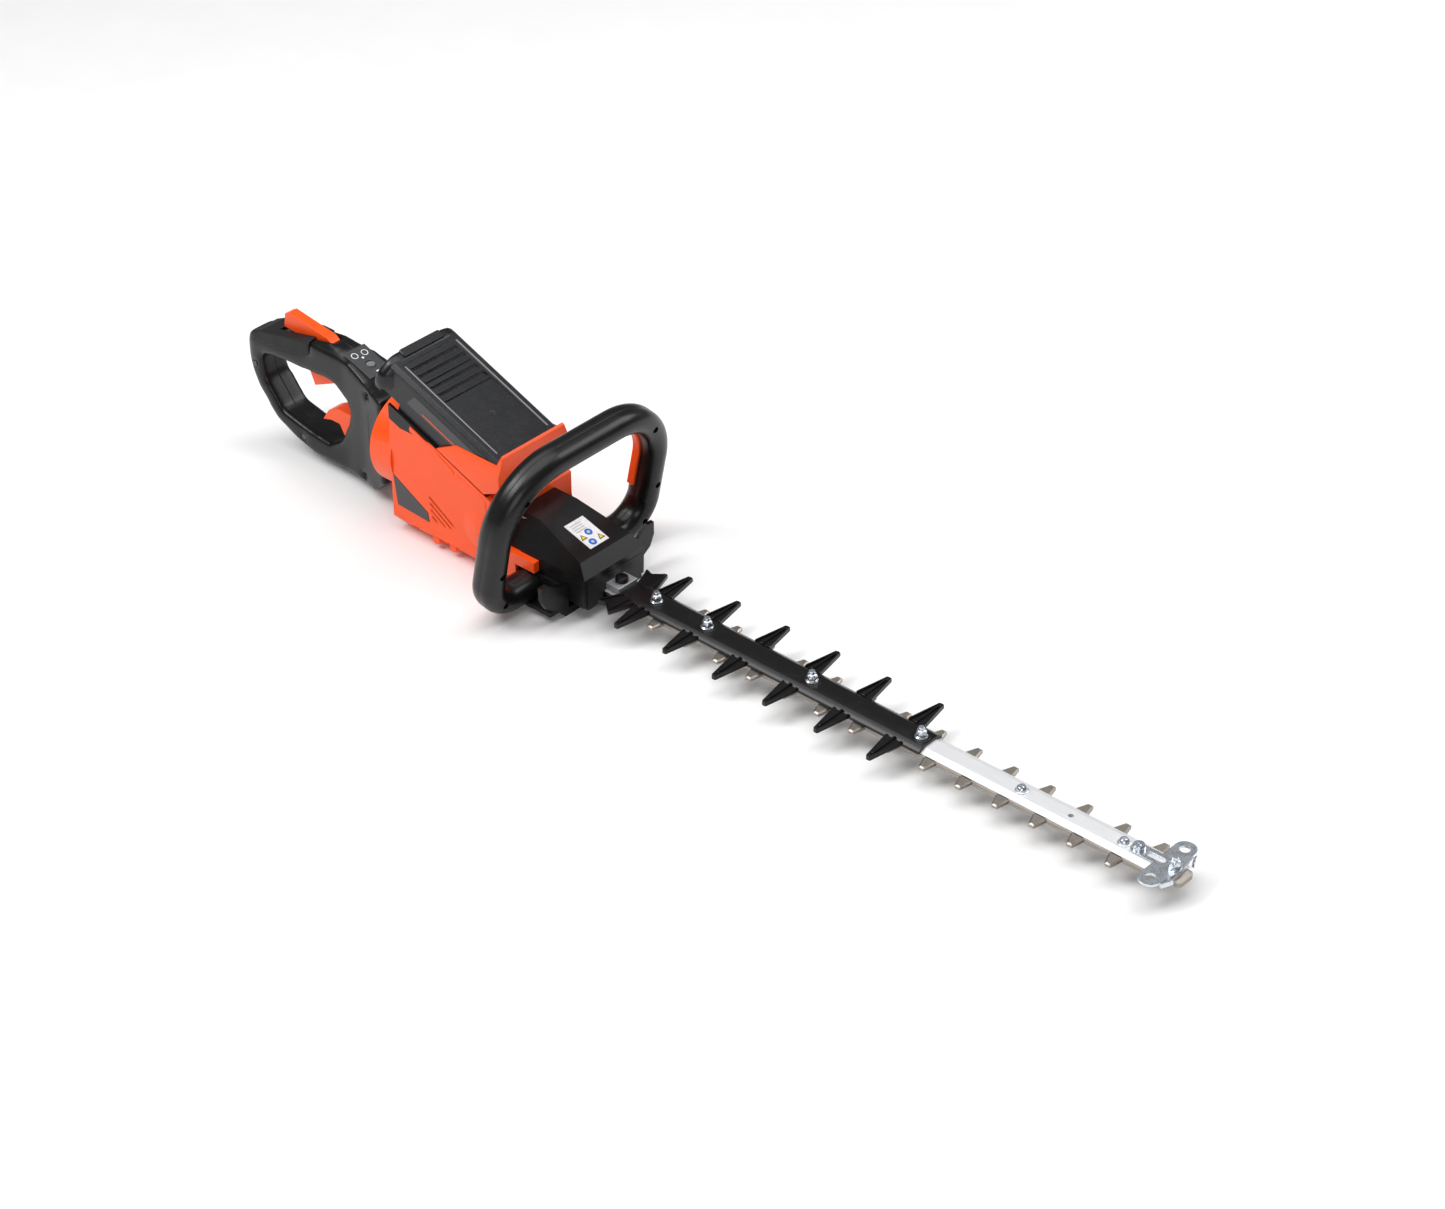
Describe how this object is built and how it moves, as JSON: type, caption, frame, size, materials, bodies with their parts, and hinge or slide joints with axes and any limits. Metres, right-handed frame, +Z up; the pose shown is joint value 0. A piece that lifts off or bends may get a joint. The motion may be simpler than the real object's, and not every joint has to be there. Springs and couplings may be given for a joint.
{
  "type": "hedge trimmer",
  "caption": "Battery hedge trimmer with long double-sided reciprocating blades, loop front handle, swivelling rear handle, debris sweeper and tip guard",
  "frame": {"origin": "on the surface the tool lies on, under the middle of its length, on its plane of symmetry", "axes": "+X to the blade tip, +Y to the left of a user holding it, +Z up"},
  "size_m": [0.996, 0.206, 0.1608],
  "materials": {
    "orange_plastic": "satin",
    "black_plastic": "satin",
    "grip_rubber": "matte",
    "battery_plastic": "satin",
    "badge_grey": "matte",
    "label_white": "satin",
    "aluminium_bar": "satin",
    "cast_aluminium": "cast",
    "black_cast": "satin",
    "blade_steel": "ground",
    "zinc_steel": "zinc plated",
    "dark_steel": "blackened",
    "motor_steel": "satin",
    "copper_wind": "enamelled",
    "board_green": "satin",
    "wire_red": "satin",
    "cell_blue": "sleeved",
    "contact_brass": "satin",
    "switch_grey": "matte",
    "button_grey": "matte"
  },
  "bodies": {
    "body": {"housing_right": "orange_plastic", "housing_left": "orange_plastic", "battery_strap": "orange_plastic", "battery_cradle": "black_plastic", "terminal_block": "switch_grey", "housing_screws": "dark_steel", "badges": "badge_grey", "motor_can": "motor_steel", "motor_stator": "copper_wind", "motor_bearings": "motor_steel", "controller_board": "board_green", "wiring": "wire_red", "gear_case": "black_cast", "bottom_plate": "black_cast", "crank_bearings": "motor_steel", "front_cover": "black_plastic", "cover_label": "label_white", "cover_screws": "dark_steel", "hand_guard": "black_plastic", "front_handle_front": "black_plastic", "front_handle_rear": "black_plastic", "front_handle_screws": "dark_steel", "front_switch": "switch_grey", "bar_bracket": "cast_aluminium", "bracket_bolts": "dark_steel", "guide_bar": "aluminium_bar", "bar_bolts": "zinc_steel", "bar_screws": "zinc_steel", "debris_sweeper": "black_plastic", "sweeper_nuts": "zinc_steel", "tip_guard": "zinc_steel", "tip_screw": "zinc_steel", "tip_nut": "zinc_steel"},
    "motor": {"motor_rotor": "dark_steel", "motor_shaft": "motor_steel", "pinion": "motor_steel"},
    "crank": {"drive_gear": "motor_steel", "crank_shaft": "dark_steel"},
    "blade_upper": {"upper_blade": "blade_steel"},
    "blade_lower": {"lower_blade": "blade_steel"},
    "front_switch_bar": {"switch_bar": "orange_plastic"},
    "rear_handle": {"rear_handle_right": "black_plastic", "rear_handle_left": "black_plastic", "grip_cover": "grip_rubber", "handle_panel": "badge_grey", "handle_screws": "dark_steel", "trigger_switch": "switch_grey", "handle_pins": "motor_steel"},
    "trigger_lever": {"trigger": "orange_plastic"},
    "lockout": {"lockout_lever": "orange_plastic"},
    "swivel_release": {"release_lever": "orange_plastic"},
    "power_switch": {"power_button": "button_grey"},
    "battery": {"battery_case": "battery_plastic", "battery_lid": "battery_plastic", "battery_cells": "cell_blue", "battery_contacts": "contact_brass", "battery_screws": "dark_steel"},
    "battery_release": {"battery_latch": "badge_grey"}
  },
  "joints": [
    {"name": "handle_swivel", "type": "hinge", "parent": "body", "child": "rear_handle", "pos_m": [-0.311, 0, 0.068], "axis": [1, 0, 0], "range_deg": [-90, 90]},
    {"name": "trigger_pull", "type": "hinge", "parent": "rear_handle", "child": "trigger_lever", "pos_m": [-0.39, 0, 0.103], "axis": [0, 1, 0], "range_deg": [0, 9], "stiffness_Nm_per_rad": 1.2, "springref_deg": -17.19},
    {"name": "lockout_press", "type": "hinge", "parent": "rear_handle", "child": "lockout", "pos_m": [-0.402, 0, 0.118], "axis": [0, 1, 0], "range_deg": [-8, 0], "stiffness_Nm_per_rad": 0.6, "springref_deg": 17.19},
    {"name": "swivel_release_pull", "type": "hinge", "parent": "rear_handle", "child": "swivel_release", "pos_m": [-0.373, 0, 0.042], "axis": [0, 1, 0], "range_deg": [-10, 0], "stiffness_Nm_per_rad": 0.8, "springref_deg": 17.19},
    {"name": "power_press", "type": "slide", "parent": "rear_handle", "child": "power_switch", "axis": [0, 0, -1], "range_m": [0, 0.001], "stiffness_N_per_m": 400, "springref_m": -0.001},
    {"name": "front_switch_press", "type": "slide", "parent": "body", "child": "front_switch_bar", "axis": [0.1994, 0, 0.9799], "range_m": [0, 0.002], "stiffness_N_per_m": 900, "springref_m": -0.004},
    {"name": "battery_slide", "type": "slide", "parent": "body", "child": "battery", "axis": [-0.9304, 0, 0.3665], "range_m": [0, 0.15]},
    {"name": "latch_press", "type": "slide", "parent": "battery", "child": "battery_release", "axis": [0.9304, 0, -0.3665], "range_m": [0, 0.0015], "stiffness_N_per_m": 800, "springref_m": -0.002},
    {"name": "crank_turn", "type": "hinge", "parent": "body", "child": "crank", "pos_m": [-0.123, 0, 0.024], "axis": [0, 0, 1], "continuous": true},
    {"name": "motor_turn", "type": "hinge", "parent": "body", "child": "motor", "pos_m": [-0.1545, 0, 0.024], "axis": [0, 0, 1], "continuous": true},
    {"name": "upper_blade_slide", "type": "slide", "parent": "body", "child": "blade_upper", "axis": [1, 0, 0], "range_m": [-0.00875, 0.00875]},
    {"name": "lower_blade_slide", "type": "slide", "parent": "body", "child": "blade_lower", "axis": [1, 0, 0], "range_m": [-0.00875, 0.00875]}
  ],
  "couplings": [
    {"joint": "motor_turn", "follows": "crank_turn", "ratio": -6},
    {"joint": "lower_blade_slide", "follows": "upper_blade_slide", "ratio": -1}
  ]
}
